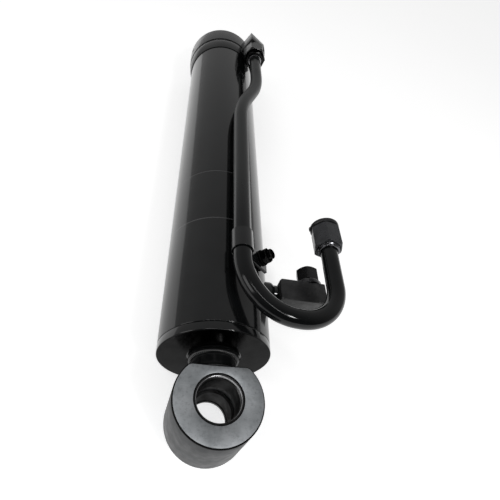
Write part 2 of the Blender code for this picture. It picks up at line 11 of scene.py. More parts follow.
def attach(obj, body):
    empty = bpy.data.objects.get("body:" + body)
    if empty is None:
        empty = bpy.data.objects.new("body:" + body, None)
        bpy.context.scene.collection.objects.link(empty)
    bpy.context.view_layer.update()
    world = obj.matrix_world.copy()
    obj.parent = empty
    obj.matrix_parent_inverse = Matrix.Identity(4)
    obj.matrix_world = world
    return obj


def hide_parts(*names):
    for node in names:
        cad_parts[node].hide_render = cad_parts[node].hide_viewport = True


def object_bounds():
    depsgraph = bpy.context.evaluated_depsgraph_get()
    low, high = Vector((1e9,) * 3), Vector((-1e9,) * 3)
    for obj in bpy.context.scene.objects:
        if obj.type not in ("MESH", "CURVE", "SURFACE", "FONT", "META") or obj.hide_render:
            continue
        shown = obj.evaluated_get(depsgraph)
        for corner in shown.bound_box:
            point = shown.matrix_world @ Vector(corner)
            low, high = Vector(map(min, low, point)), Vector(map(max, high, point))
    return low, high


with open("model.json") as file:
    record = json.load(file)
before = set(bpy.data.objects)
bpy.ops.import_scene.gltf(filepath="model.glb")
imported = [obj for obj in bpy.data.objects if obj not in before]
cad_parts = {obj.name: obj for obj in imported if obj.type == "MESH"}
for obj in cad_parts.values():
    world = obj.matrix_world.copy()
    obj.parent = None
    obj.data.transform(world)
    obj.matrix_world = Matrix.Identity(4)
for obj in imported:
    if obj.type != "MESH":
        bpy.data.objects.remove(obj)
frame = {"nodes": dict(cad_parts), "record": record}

cad_low, cad_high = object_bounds()

TAU = 2.0 * math.pi
ROUND = 128                 # sides of the large round pieces
FITTING = 64                # sides of fittings and seals
GAP = 0.0003                # between touching pieces
LENGTHWISE = 1              # the index of the Y axis, which runs along the barrel
BARREL_R = 0.04445
BORE_R = 0.0381
BASE_FACE_Y = 0.0408
BASE_SEAM_Y = 0.0476
BASE_SPIGOT_Y = 0.0600
NECK_R = 0.0172
SLEEVE_Y = (0.4950, 0.5156)
SLEEVE_R = 0.0475
GLAND_NUT_R = 0.0485
TUBE_END_Y = 0.5395
RIM_Y = 0.5455
SPANNER_HOLE_Y = 0.5320
SPANNER_HOLE_ANGLES = (math.radians(165.0), math.radians(345.0))
EYE_BORE_R = 0.0172
PIN_R = 0.0152
SEAL_INNER_R = 0.0159
BUSH_LENGTH = 0.0170
ROD_R = 0.01905
ROD_EYE_Y = 0.5759
ROD_EYE_FLAT = 0.0221
LINE_R = 0.0075
PASSAGE_R = 0.0045          # the oil passages through the port fittings
LINE_CORNERS = (
    (0.0378, 0.4745, 0.0484),
    (0.0374, 0.3930, 0.0486),
    (0.0118, 0.3165, 0.0592),
    (0.0088, 0.0758, 0.0596),
    (0.0346, 0.0500, 0.0568),
    (0.0885, 0.0503, 0.0502),
    (0.0902, 0.1340, 0.0502),
)
LINE_RADII = (0.150, 0.150, 0.052, 0.037, 0.037)
HEAD_PORT = (0.0378, 0.0484)
HEAD_BLOCK_CENTRE = (0.0368, 0.0448)
HEAD_BLOCK_HALF = 0.0153
HEAD_BLOCK_TURN = math.radians(62.8)
HEAD_BLOCK_Y = (0.4934, 0.5154)
ADAPTER_Y = 0.4756
SWIVEL = (0.0902, 0.0502)
SWIVEL_Y = (0.1270, 0.1500)
HEX_R = 0.0138
STUB = (0.0997, 0.0133)
BASE_BLOCK_X = (0.0520, 0.0950)
BASE_BLOCK_Y = (0.0876, 0.1090)
BASE_BLOCK_Z = (0.0022, 0.0244)
BASE_PORT = (0.0838, 0.0133)
CLAMP_STRAP_Y = (0.1020, 0.1215)
CLAMP_STUD_Y = 0.1165
CLAMP_ANGLE = math.radians(50.0)
CLAMP_RING = (0.0092, 0.0595)


# ---------------------------------------------------------------- finishes
class Finish:
    """A Principled material whose colour, roughness and bump vary over the surface."""

    def __init__(self, name, roughness, metallic=0.0, **sockets):
        self.material = bpy.data.materials.new(name)
        self.material.use_nodes = True
        self.nodes = self.material.node_tree.nodes
        self.links = self.material.node_tree.links
        self.shader = self.nodes["Principled BSDF"]
        self.shader.inputs["Metallic"].default_value = metallic
        self.shader.inputs["Roughness"].default_value = roughness
        for socket, value in sockets.items():
            self.shader.inputs[socket.replace("_", " ")].default_value = value
        self.coordinates = self.nodes.new("ShaderNodeTexCoord").outputs["Object"]

    def stretched(self, scale):
        mapping = self.nodes.new("ShaderNodeMapping")
        mapping.inputs["Scale"].default_value = scale
        self.links.new(self.coordinates, mapping.inputs["Vector"])
        return mapping.outputs["Vector"]

    def noise(self, scale, detail=3.0, stretch=None, rough=0.5):
        node = self.nodes.new("ShaderNodeTexNoise")
        node.inputs["Scale"].default_value = scale
        node.inputs["Detail"].default_value = detail
        node.inputs["Roughness"].default_value = rough
        self.links.new(self.stretched(stretch) if stretch else self.coordinates, node.inputs["Vector"])
        return node.outputs["Fac"]

    def spread(self, value, low, high, out_low, out_high):
        node = self.nodes.new("ShaderNodeMapRange")
        numbers = {"From Min": low, "From Max": high, "To Min": out_low, "To Max": out_high}
        for socket, number in numbers.items():
            node.inputs[socket].default_value = number
        self.links.new(value, node.inputs["Value"])
        return node.outputs["Result"]

    def mixed(self, factor, first, second):
        node = self.nodes.new("ShaderNodeMix")
        node.data_type = "RGBA"
        for socket, colour in ((node.inputs[6], first), (node.inputs[7], second)):
            if isinstance(colour, tuple):
                socket.default_value = (*colour, 1.0)
            else:
                self.links.new(colour, socket)
        self.links.new(factor, node.inputs["Factor"])
        return node.outputs[2]

    def shaded(self, value, low, high, first, second, share=1.0):
        """The first colour where the value is low, and this share of the second where it is high."""
        return self.mixed(self.spread(value, low, high, 0.0, share), first, second)

    def colour(self, value):
        self.links.new(value, self.shader.inputs["Base Color"])

    def roughness(self, value):
        self.links.new(value, self.shader.inputs["Roughness"])

    def bumps(self, *layers):
        """layers are (height value, distance in metres, strength), from the coarsest to the finest."""
        normal = None
        for height, distance, strength in layers:
            node = self.nodes.new("ShaderNodeBump")
            node.inputs["Distance"].default_value = distance
            node.inputs["Strength"].default_value = strength
            self.links.new(height, node.inputs["Height"])
            if normal is not None:
                self.links.new(normal, node.inputs["Normal"])
            normal = node.outputs["Normal"]
        self.links.new(normal, self.shader.inputs["Normal"])

    def band(self, axis, centre, half_width):
        """1 inside a narrow band across the axis, 0 outside, with soft edges."""
        split = self.nodes.new("ShaderNodeSeparateXYZ")
        self.links.new(self.coordinates, split.inputs[0])
        away = self.nodes.new("ShaderNodeMath")
        away.operation = "SUBTRACT"
        away.inputs[1].default_value = centre
        self.links.new(split.outputs[axis], away.inputs[0])
        size = self.nodes.new("ShaderNodeMath")
        size.operation = "ABSOLUTE"
        self.links.new(away.outputs[0], size.inputs[0])
        return self.spread(size.outputs[0], half_width * 0.5, half_width, 1.0, 0.0)

    def vector_step(self, operation, value, operand=None):
        """A step of vector arithmetic on a linked value."""
        node = self.nodes.new("ShaderNodeVectorMath")
        node.operation = operation
        if operand is not None:
            node.inputs[1].default_value = operand
        self.links.new(value, node.inputs[0])
        return node.outputs

    def convexity(self):
        """About 0.5 on a flat or smooth surface, and more along an outer edge."""
        return self.nodes.new("ShaderNodeNewGeometry").outputs["Pointiness"]


def gloss_paint(name, bands=(), ior=1.52, satin=None):
    """Thick black machine enamel: orange peel, faint haze and a little dust.

    A band is (axis, centre, half width, colour); satin is one band whose last value is its roughness.
    """
    f = Finish(name, 0.10, IOR=ior)
    haze = f.noise(38.0, 4.0)
    tone = f.shaded(haze, 0.35, 0.75, (0.0030, 0.0034, 0.0036), (0.0065, 0.0070, 0.0074))
    dust = f.noise(900.0, 2.0)
    tone = f.shaded(dust, 0.70, 0.78, tone, (0.045, 0.045, 0.043), 0.30)
    for axis, centre, half_width, colour in bands:
        tone = f.mixed(f.band(axis, centre, half_width), tone, colour)
    f.colour(tone)
    sheen = f.spread(f.noise(120.0, 5.0), 0.3, 0.7, 0.07, 0.15)
    if satin:
        axis, centre, half_width, dull = satin
        sheen = f.mixed(f.band(axis, centre, half_width), sheen, (dull, dull, dull))
    f.roughness(sheen)
    f.bumps((f.noise(60.0, 2.0), 0.0004, 0.03), (f.noise(420.0, 2.0), 0.00004, 0.14))
    return f.material


def cast_paint(name, dark, light):
    """Satin black paint over a sand casting, with light specks painted in as glints."""
    f = Finish(name, 0.42, IOR=1.5)
    tone = f.shaded(f.noise(150.0, 6.0, rough=0.65), 0.35, 0.7, dark, light)
    # light specks: painted glints of the rough casting
    tone = f.shaded(f.noise(1100.0, 2.0), 0.66, 0.76, tone, (0.085, 0.084, 0.082), 0.5)
    f.colour(tone)
    f.roughness(f.spread(f.noise(260.0, 4.0), 0.3, 0.7, 0.32, 0.55))
    f.bumps((f.noise(220.0, 5.0, rough=0.7), 0.0006, 0.45), (f.noise(1100.0, 3.0), 0.00025, 0.55))
    return f.material


def satin_paint(name, dark, light, roughness, gloss=0.25):
    """A thin even coat of satin dark paint; on the eye's sides and chamfers it is darkened further as painted
    shade.
    """
    f = Finish(name, roughness, Specular_IOR_Level=gloss)
    f.colour(f.shaded(f.noise(60.0, 5.0, rough=0.6), 0.35, 0.7, dark, light))
    f.roughness(f.spread(f.noise(160.0, 4.0), 0.3, 0.7, roughness - 0.06, roughness + 0.08))
    f.bumps((f.noise(700.0, 3.0), 0.00004, 0.2),)
    return f.material


def satin_steel(name, dark, light, roughness):
    """Milled steel under a thin clear rust guard: fine parallel marks and faint stains."""
    f = Finish(name, roughness, 0.85)
    tone = f.shaded(f.noise(45.0, 5.0, rough=0.6), 0.35, 0.7, dark, light)
    marks = f.noise(1.0, 4.0, stretch=(260.0, 2600.0, 2600.0))
    tone = f.shaded(marks, 0.55, 0.75, tone, (0.10, 0.10, 0.11), 0.25)
    tone = f.shaded(f.noise(420.0, 4.0, rough=0.7), 0.52, 0.72, tone, (0.12, 0.13, 0.14), 0.40)
    f.colour(tone)
    f.roughness(f.spread(f.noise(90.0, 4.0), 0.3, 0.7, roughness - 0.07, roughness + 0.09))
    f.bumps((marks, 0.00003, 0.25), (f.noise(1600.0, 2.0), 0.00002, 0.2))
    return f.material


def blackened(name, level, roughness, edge=0.2):
    """A dark metal finish that stays dark even at a grazing angle: black oxide or thin black paint, and on
    the base cap's end face a painted shade.
    """
    f = Finish(name, roughness, 1.0, Specular_Tint=(edge, edge, edge, 1.0))
    dull, bright = (level * 0.75,) * 3, (level * 1.3,) * 3
    f.colour(f.shaded(f.noise(160.0, 4.0), 0.3, 0.7, dull, bright))
    f.roughness(f.spread(f.noise(420.0, 3.0), 0.3, 0.7, roughness - 0.05, roughness + 0.08))
    f.bumps((f.noise(900.0, 3.0), 0.00004, 0.15),)
    return f.material


def black_zinc(name, colour, sheen):
    """Black plated steel, lighter along its outer edges."""
    f = Finish(name, sheen, 0.55, IOR=1.6)
    tone = f.shaded(f.noise(210.0, 4.0), 0.3, 0.7, colour, tuple(c * 1.7 for c in colour))
    tone = f.shaded(f.convexity(), 0.54, 0.62, tone, (0.20, 0.20, 0.21))
    f.colour(tone)
    f.roughness(f.spread(f.noise(500.0, 3.0), 0.3, 0.7, sheen - 0.06, sheen + 0.10))
    f.bumps((f.noise(900.0, 3.0), 0.00004, 0.25),)
    return f.material


def turned_steel(name, dark, light, roughness):
    """Bright metal turned about the barrel's direction: rings of tool marks, one after another along it."""
    f = Finish(name, roughness, 1.0)
    marks = f.noise(1.0, 3.0, stretch=(60.0, 9000.0, 60.0))
    f.colour(f.shaded(f.noise(80.0, 4.0), 0.3, 0.7, dark, light))
    f.roughness(f.spread(marks, 0.3, 0.7, roughness - 0.06, roughness + 0.12))
    f.bumps((marks, 0.00002, 0.25),)
    return f.material


def chrome_plate(name):
    """Hard chrome, ground and polished: faint grinding rings."""
    f = Finish(name, 0.07, 1.0)
    f.colour(f.shaded(f.noise(30.0, 3.0), 0.3, 0.7, (0.70, 0.71, 0.73), (0.80, 0.81, 0.82)))
    marks = f.noise(1.0, 3.0, stretch=(900.0, 14000.0, 900.0))
    f.roughness(f.spread(marks, 0.3, 0.75, 0.04, 0.13))
    f.bumps((marks, 0.000004, 0.2),)
    return f.material


def moulded(name, dark, light, roughness):
    """Rubber, seal polymer or plastic: fine grain and slightly uneven colour."""
    f = Finish(name, roughness, IOR=1.48)
    f.colour(f.shaded(f.noise(140.0, 4.0), 0.3, 0.7, dark, light))
    f.roughness(f.spread(f.noise(400.0, 3.0), 0.3, 0.7, roughness - 0.08, roughness + 0.08))
    f.bumps((f.noise(1500.0, 3.0), 0.00006, 0.3),)
    return f.material


PAINT = gloss_paint("black_enamel")
# the transfer tube is duller along its straight run than on its bends, and lighter in colour there: a painted
# sheen
LINE_PAINT = gloss_paint(
    "line_enamel", ior=1.36,
    bands=((LENGTHWISE, 0.300, 0.190, (0.022, 0.023, 0.023)),), satin=(LENGTHWISE, 0.300, 0.180, 0.38))
# two scribed rings, the farther one with a dark edge beside it
BARREL_PAINT = gloss_paint("barrel_enamel", bands=(
    (LENGTHWISE, 0.1508, 0.0007, (0.060, 0.060, 0.062)),
    (LENGTHWISE, 0.2171, 0.0009, (0.002, 0.002, 0.002)),
    (LENGTHWISE, 0.2153, 0.0006, (0.060, 0.060, 0.062)),
))
CASTING = cast_paint("painted_casting", (0.0060, 0.0062, 0.0066), (0.0260, 0.0260, 0.0270))
HEAD_PAINT = satin_paint("head_paint", (0.0090, 0.0092, 0.0096), (0.0140, 0.0143, 0.0147), 0.22, 0.80)
FASTENER = blackened("fastener_black", 0.022, 0.28)
EYE_FACE = satin_steel("eye_face", (0.36, 0.38, 0.395), (0.60, 0.62, 0.64), 0.50)
# the eye's chamfers are near black and barely glossy, a painted shade; its sides are dark paint darkened
# further as painted shade
EYE_EDGE_PAINTED_SHADE = satin_paint("eye_edge_painted_shade", (0.004, 0.004, 0.004), (0.008, 0.008, 0.008), 0.45, 0.05)
EYE_SIDE_PAINTED_SHADE = satin_paint("eye_side_painted_shade", (0.030, 0.032, 0.034), (0.044, 0.046, 0.049), 0.46)
ZINC = black_zinc("black_zinc", (0.010, 0.010, 0.011), 0.28)
NUT_GREY = black_zinc("phosphated_nut", (0.034, 0.035, 0.038), 0.30)
DARK_STEEL = turned_steel("dark_steel", (0.09, 0.09, 0.095), (0.16, 0.16, 0.17), 0.22)
TURNED = turned_steel("turned_steel", (0.42, 0.42, 0.43), (0.55, 0.55, 0.56), 0.28)
BUSH = blackened("bush_steel", 0.070, 0.38, 0.30)
CHROME = chrome_plate("hard_chrome")
RUBBER = moulded("seal_rubber", (0.010, 0.010, 0.010), (0.022, 0.022, 0.022), 0.55)
POLYMER = moulded("seal_polymer", (0.050, 0.130, 0.100), (0.070, 0.165, 0.130), 0.45)
PLASTIC = moulded("plug_plastic", (0.012, 0.012, 0.013), (0.022, 0.022, 0.023), 0.38)
# the base cap's end face: a dark, barely reflective finish that is painted shade, where the rest of the cap
# is gloss paint
BASE_FACE_PAINTED_SHADE = blackened("base_face_painted_shade", 0.012, 0.17, 0.62)

SLOT_FINISH = {
    "black_paint": PAINT, "cast_black": CASTING, "satin_steel": EYE_FACE, "black_zinc": ZINC,
    "chrome": CHROME, "bare_steel": TURNED, "bush_steel": BUSH, "rubber": RUBBER,
    "seal_polymer": POLYMER, "plastic": PLASTIC,
}
NODE_SLOT = {subpart["node"]: subpart["material_slot"] for subpart in frame["record"]["subparts"]}
for node_name, node_object in frame["nodes"].items():
    node_object.data.materials.clear()
    node_object.data.materials.append(SLOT_FINISH[NODE_SLOT[node_name]])


# ---------------------------------------------------------------- mesh tools
def along(axis, centre):
    """A frame whose local Z runs along the named axis: X, Y or Z."""
    turns = {
        "X": Matrix(((0, 0, 1), (1, 0, 0), (0, 1, 0))),
        "Y": Matrix(((0, 1, 0), (0, 0, 1), (1, 0, 0))),
        "Z": Matrix.Identity(3),
    }
    return Matrix.Translation(centre) @ turns[axis].to_4x4()


def radial(angle, station):
    """A frame on the barrel's axis: local Z points outward at the angle, local X runs along the barrel."""
    out = Vector((math.cos(angle), 0.0, math.sin(angle)))
    lengthwise = Vector((0.0, 1.0, 0.0))
    across = out.cross(lengthwise)
    turn = Matrix((lengthwise, across, out)).transposed().to_4x4()
    return Matrix.Translation((0.0, station, 0.0)) @ turn


def make(name, points, faces, finishes, sharp=35.0):
    mesh = bpy.data.meshes.new(name)
    mesh.from_pydata([tuple(p) for p in points], [], faces)
    work = bmesh.new()
    work.from_mesh(mesh)
    bmesh.ops.recalc_face_normals(work, faces=work.faces)
    work.to_mesh(mesh)
    work.free()
    for finish in finishes if isinstance(finishes, (list, tuple)) else (finishes,):
        mesh.materials.append(finish)
    mesh.shade_smooth()
    mesh.set_sharp_from_angle(angle=math.radians(sharp))
    obj = bpy.data.objects.new(name, mesh)
    bpy.context.scene.collection.objects.link(obj)
    return obj


def belongs(obj, body, slot, *nodes):
    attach(obj, body)
    if nodes:
        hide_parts(*nodes)
    return obj


def soften(obj, width, segments, limit=30.0):
    """Rounds the edges sharper than the limit, in degrees."""
    bevel = obj.modifiers.new("soft_edges", "BEVEL")
    bevel.width = width
    bevel.segments = segments
    bevel.limit_method = "ANGLE"
    bevel.angle_limit = math.radians(limit)
    bevel.harden_normals = True
    return obj


def ring_grid(rows, closed=True):
    """Faces between rows of points that each go once round."""
    count = len(rows[0])
    faces = []
    last = len(rows) if closed else len(rows) - 1
    for i in range(last):
        j = (i + 1) % len(rows)
        for k in range(count):
            n = (k + 1) % count
            faces.append((i * count + k, i * count + n, j * count + n, j * count + k))
    return faces


def circle(radius, sides):
    return [(radius * math.cos(TAU * k / sides), radius * math.sin(TAU * k / sides)) for k in range(sides)]


def lathe(name, profile, finish, axis="Y", centre=(0.0, 0.0, 0.0), sides=ROUND, sharp=35.0):
    """Turns a closed outline of (radius, station) round the axis. Points on the axis close the ends."""
    place = along(axis, centre)
    solid = profile[0][0] == 0.0 and profile[-1][0] == 0.0
    body = profile[1:-1] if solid else profile
    rows = [[place @ Vector((x, y, s)) for x, y in circle(r, sides)] for r, s in body]
    faces = ring_grid(rows, closed=not solid)
    points = [p for row in rows for p in row]
    if solid:
        for station, base in ((profile[0][1], 0), (profile[-1][1], (len(rows) - 1) * sides)):
            points.append(place @ Vector((0.0, 0.0, station)))
            centre_index = len(points) - 1
            faces += [(base + k, base + (k + 1) % sides, centre_index) for k in range(sides)]
    return make(name, points, faces, finish, sharp)


def arc(centre_r, centre_s, radius, start, end, steps=5):
    """Points of an arc in a lathe outline, angles in degrees from +radius towards +station."""
    found = []
    for k in range(steps + 1):
        angle = math.radians(start + (end - start) * k / steps)
        found.append((centre_r + radius * math.cos(angle), centre_s + radius * math.sin(angle)))
    return found


def hexagon_nut(name, radius, start, end, bore, finish, place, turn):
    """A hexagon along local Z with a corner at the turn angle, chamfered ends and a plain bore."""
    sides = 96
    flat_r = radius * math.cos(math.pi / 6.0)
    face_r = flat_r * 0.96
    slope = math.tan(math.radians(30.0))
    inset = 0.0006
    rows = [[] for _ in range(8)]
    for k in range(sides):
        angle = TAU * k / sides
        reach = flat_r / math.cos((angle - turn) % (math.pi / 3.0) - math.pi / 6.0)
        drop = (reach - face_r) * slope
        spots = (
            (bore, start + inset), (bore + inset, start), (face_r, start), (reach, start + drop),
            (reach, end - drop), (face_r, end), (bore + inset, end), (bore, end - inset),
        )
        for row, (r, s) in zip(rows, spots):
            row.append(place @ Vector((r * math.cos(angle), r * math.sin(angle), s)))
    obj = make(name, [p for row in rows for p in row], ring_grid(rows), finish, sharp=20.0)
    return soften(obj, 0.00022, 2, 22.0)


def slab(name, outline, low, high, finish, place, width):
    """An outline extruded along local Z, with rounded edges."""
    count = len(outline)
    points = [place @ Vector((x, y, z)) for z in (low, high) for x, y in outline]
    faces = [tuple(range(count)), tuple(range(count, 2 * count))]
    faces += [(k, (k + 1) % count, count + (k + 1) % count, count + k) for k in range(count)]
    return soften(make(name, points, faces, finish), width, 3)


def baked(obj):
    """Applies the modifiers of a piece to its mesh."""
    graph = bpy.context.evaluated_depsgraph_get()
    graph.update()
    mesh = bpy.data.meshes.new_from_object(obj.evaluated_get(graph))
    mesh.name = obj.name
    old = obj.data
    obj.modifiers.clear()
    obj.data = mesh
    bpy.data.meshes.remove(old)
    return obj


def carve(obj, *cutters):
    """Takes the cutters away from the piece and removes them."""
    for cutter in cutters:
        boolean = obj.modifiers.new("cut", "BOOLEAN")
        boolean.operation = "DIFFERENCE"
        boolean.solver = "EXACT"
        boolean.object = cutter
    baked(obj)
    for cutter in cutters:
        bpy.data.objects.remove(cutter)
    obj.data.set_sharp_from_angle(angle=math.radians(32.0))
    return obj


def plain_round(name, start, end, radius, sides=48):
    """A round cutter between two points."""
    start, end = Vector(start), Vector(end)
    turn = (end - start).to_track_quat("Z", "Y").to_matrix().to_4x4()
    place = Matrix.Translation(start) @ turn
    length = (end - start).length
    rows = [[place @ Vector((x, y, s)) for x, y in circle(radius, sides)] for s in (0.0, length)]
    faces = [tuple(range(sides)), tuple(range(sides, 2 * sides))] + ring_grid(rows, closed=False)
    return make(name, [p for row in rows for p in row], faces, PAINT)


def saddle(radius, start, end):
    """A cutter for a face that sits on a cylinder round the barrel's axis, with the usual gap."""
    return plain_round("saddle", (0.0, start, 0.0), (0.0, end, 0.0), radius + GAP, 128)


def rounded_path(corners, radii):
    """Straight runs joined by arcs; each point comes with the path's direction there."""
    step = math.radians(3.0)
    corners = [Vector(c) for c in corners]
    path = [(corners[0], (corners[1] - corners[0]).normalized())]
    for before, corner, after, radius in zip(corners, corners[1:], corners[2:], radii):
        arriving = (corner - before).normalized()
        leaving = (after - corner).normalized()
        bend = arriving.angle(leaving)
        trim = radius * math.tan(bend / 2.0)
        axis = arriving.cross(leaving).normalized()
        start = corner - arriving * trim
        centre = start + axis.cross(arriving) * radius
        count = max(2, math.ceil(bend / step))
        for k in range(count + 1):
            turn = Matrix.Rotation(bend * k / count, 3, axis)
            path.append((centre + turn @ (start - centre), turn @ arriving))
    path.append((corners[-1], (corners[-1] - corners[-2]).normalized()))
    return path


def sweep(name, path, section, finish):
    """Carries a closed section of (across, up) along the path with little twist."""
    rows = []
    side = path[0][1].orthogonal().normalized()
    for point, direction in path:
        side = (side - direction * side.dot(direction)).normalized()
        up = direction.cross(side)
        rows.append([point + side * a + up * b for a, b in section])
    count = len(section)
    faces = ring_grid(rows, closed=False)
    faces += [tuple(range(count)), tuple(range((len(rows) - 1) * count, len(rows) * count))]
    return make(name, [p for row in rows for p in row], faces, finish)


def circle_spots(radius, station):
    return [(x, station, z) for x, z in circle(radius, 96)]


def weld_bead(name, spots, radius, finish):
    """A laid weld: a closed bead round the barrel's axis, with the overlapping ripples of the weld pool."""
    ripple = 0.0016
    ripple_steps = 6
    sides = 14
    spots = [Vector(s) for s in spots]
    spots.append(spots[0])
    lengths = [0.0]
    for a, b in zip(spots, spots[1:]):
        lengths.append(lengths[-1] + (b - a).length)
    total = lengths[-1]
    steps = round(total / ripple) * ripple_steps
    centres = []
    index = 0
    for k in range(steps):
        want = total * k / steps
        while lengths[index + 1] < want:
            index += 1
        share = (want - lengths[index]) / (lengths[index + 1] - lengths[index])
        centres.append(spots[index].lerp(spots[index + 1], share))
    rows = []
    for k, centre in enumerate(centres):
        direction = (centres[(k + 1) % steps] - centres[k - 1]).normalized()
        phase = (k % ripple_steps) / ripple_steps
        swell = 0.88 + 0.16 * math.sin(math.pi * phase)
        swell += 0.05 * noise.noise(centre * 400.0)
        outward = Vector((centre.x, 0.0, centre.z))
        up = (outward - direction * outward.dot(direction)).normalized()
        side = up.cross(direction)
        rows.append([centre + (side * a + up * b) * radius * swell for a, b in circle(1.0, sides)])
    return make(name, [p for row in rows for p in row], ring_grid(rows), finish, sharp=75.0)


# ---------------------------------------------------------------- barrel and base end
def build_barrel():
    """The tube, and the base cap with its neck and welds."""
    edge = 0.0006               # the rounded lips of the seam between tube and cap
    start = BASE_SEAM_Y + GAP
    barrel = lathe("barrel", [
        (BORE_R, start), (BARREL_R - edge, start),
        *arc(BARREL_R - edge, start + edge, edge, -90.0, 0.0, 4),
        (BARREL_R, 0.1400), (BARREL_R, 0.2800), (BARREL_R, 0.4200),
        (BARREL_R, TUBE_END_Y), (BORE_R, TUBE_END_Y),
    ], BARREL_PAINT)
    belongs(barrel, "barrel", "black_paint", "barrel_tube")

    neck_start = 0.0239
    fillet = 0.0026
    groove = (0.0202, 0.0214)   # the radii of a shallow turned groove round the neck
    rim = 0.0009
    cap = lathe("base_end", [
        (0.0, neck_start),
        (NECK_R + 0.0014, neck_start), (NECK_R + 0.0016, neck_start + 0.0004),
        (NECK_R + 0.0012, neck_start + 0.0018), (NECK_R, neck_start + 0.0034),
        *arc(NECK_R + fillet, BASE_FACE_Y - fillet, fillet, 180.0, 90.0, 6),
        (groove[0], BASE_FACE_Y), (groove[0] + 0.0002, BASE_FACE_Y + 0.0010),
        (groove[1] - 0.0002, BASE_FACE_Y + 0.0010), (groove[1], BASE_FACE_Y),
        (BARREL_R - rim, BASE_FACE_Y),
        *arc(BARREL_R - rim, BASE_FACE_Y + rim, rim, -90.0, 0.0, 5),
        *arc(BARREL_R - edge, BASE_SEAM_Y - edge, edge, 0.0, 90.0, 4),
        (BORE_R - GAP, BASE_SEAM_Y), (BORE_R - GAP, BASE_SPIGOT_Y - 0.001),
        (BORE_R - GAP - 0.001, BASE_SPIGOT_Y), (0.0, BASE_SPIGOT_Y),
    ], PAINT)
    # the flat end face round the neck takes the painted-shade finish
    cap.data.materials.append(BASE_FACE_PAINTED_SHADE)
    for polygon in cap.data.polygons:
        middle = polygon.center
        if abs(middle.y - BASE_FACE_Y) < 0.0004 and math.hypot(middle.x, middle.z) > 0.0200:
            polygon.material_index = 1
    belongs(cap, "barrel", "black_paint", "base_cap")
    front = weld_bead("neck_weld_front", circle_spots(NECK_R + 0.0002, 0.0268), 0.0020, PAINT)
    rear = weld_bead("neck_weld_rear", circle_spots(NECK_R + 0.0004, 0.0384), 0.0024, PAINT)
    belongs(front, "barrel", "black_paint")
    belongs(rear, "barrel", "black_paint")


def eye_reach(angle, radius, flat):
    """Distance from the pin's axis to the eye's outline at an angle from +X; the flat lies towards +Y."""
    corner = 0.004
    corner_y = flat - corner
    corner_x = math.sqrt((radius - corner) ** 2 - corner_y ** 2)
    meet = math.atan2(corner_y, corner_x)
    flat_from = math.atan2(flat, corner_x)
    from_flat = abs((angle - math.pi / 2.0 + math.pi) % TAU - math.pi)
    if from_flat > math.pi / 2.0 - meet:
        return radius
    if from_flat < math.pi / 2.0 - flat_from:
        return flat / math.cos(from_flat)
    # on the rounded corner between them
    towards = Vector((math.sin(from_flat), math.cos(from_flat)))
    centre = Vector((corner_x, corner_y))
    reach = centre.dot(towards)
    return reach + math.sqrt(reach ** 2 - centre.length_squared + corner ** 2)


def build_eye(prefix, body, radius, half_width, flat, centre_y, facing):
    """An eye with its bushes and seals; facing is 1 where the flat looks along +Y, -1 where it looks back."""
    sides = 144
    chamfer = 0.0010
    bore_chamfer = chamfer * 0.6
    step = chamfer * 0.3
    waist = half_width * 0.3
    rows = [[] for _ in range(12)]
    for k in range(sides):
        angle = TAU * k / sides
        reach = eye_reach(angle, radius, flat)
        spots = (
            (EYE_BORE_R, -half_width + bore_chamfer), (EYE_BORE_R + bore_chamfer, -half_width),
            (reach - chamfer, -half_width), (reach - step, -half_width + step),
            (reach, -half_width + chamfer), (reach, -waist), (reach, waist),
            (reach, half_width - chamfer), (reach - step, half_width - step),
            (reach - chamfer, half_width), (EYE_BORE_R + bore_chamfer, half_width),
            (EYE_BORE_R, half_width - bore_chamfer),
        )
        direction = Vector((math.cos(angle), math.sin(angle) * facing))
        for row, (r, z) in zip(rows, spots):
            row.append(Vector((direction.x * r, centre_y + direction.y * r, z)))
    points = [p for row in rows for p in row]
    eye = make(prefix + "_eye_ring", points, ring_grid(rows), (EYE_FACE, EYE_SIDE_PAINTED_SHADE, EYE_EDGE_PAINTED_SHADE), 50.0)
    # faces across the pin take machined steel; the sides take dark paint with painted shade, the chamfers a
    # painted shade
    for polygon in eye.data.polygons:
        upright = abs(polygon.normal.z)
        polygon.material_index = 0 if upright > 0.97 else 2 if upright > 0.1 else 1
    belongs(eye, body, "satin_steel", prefix + "_eye")
    fit_eye(prefix, body, half_width, Vector((0.0, centre_y, 0.0)))


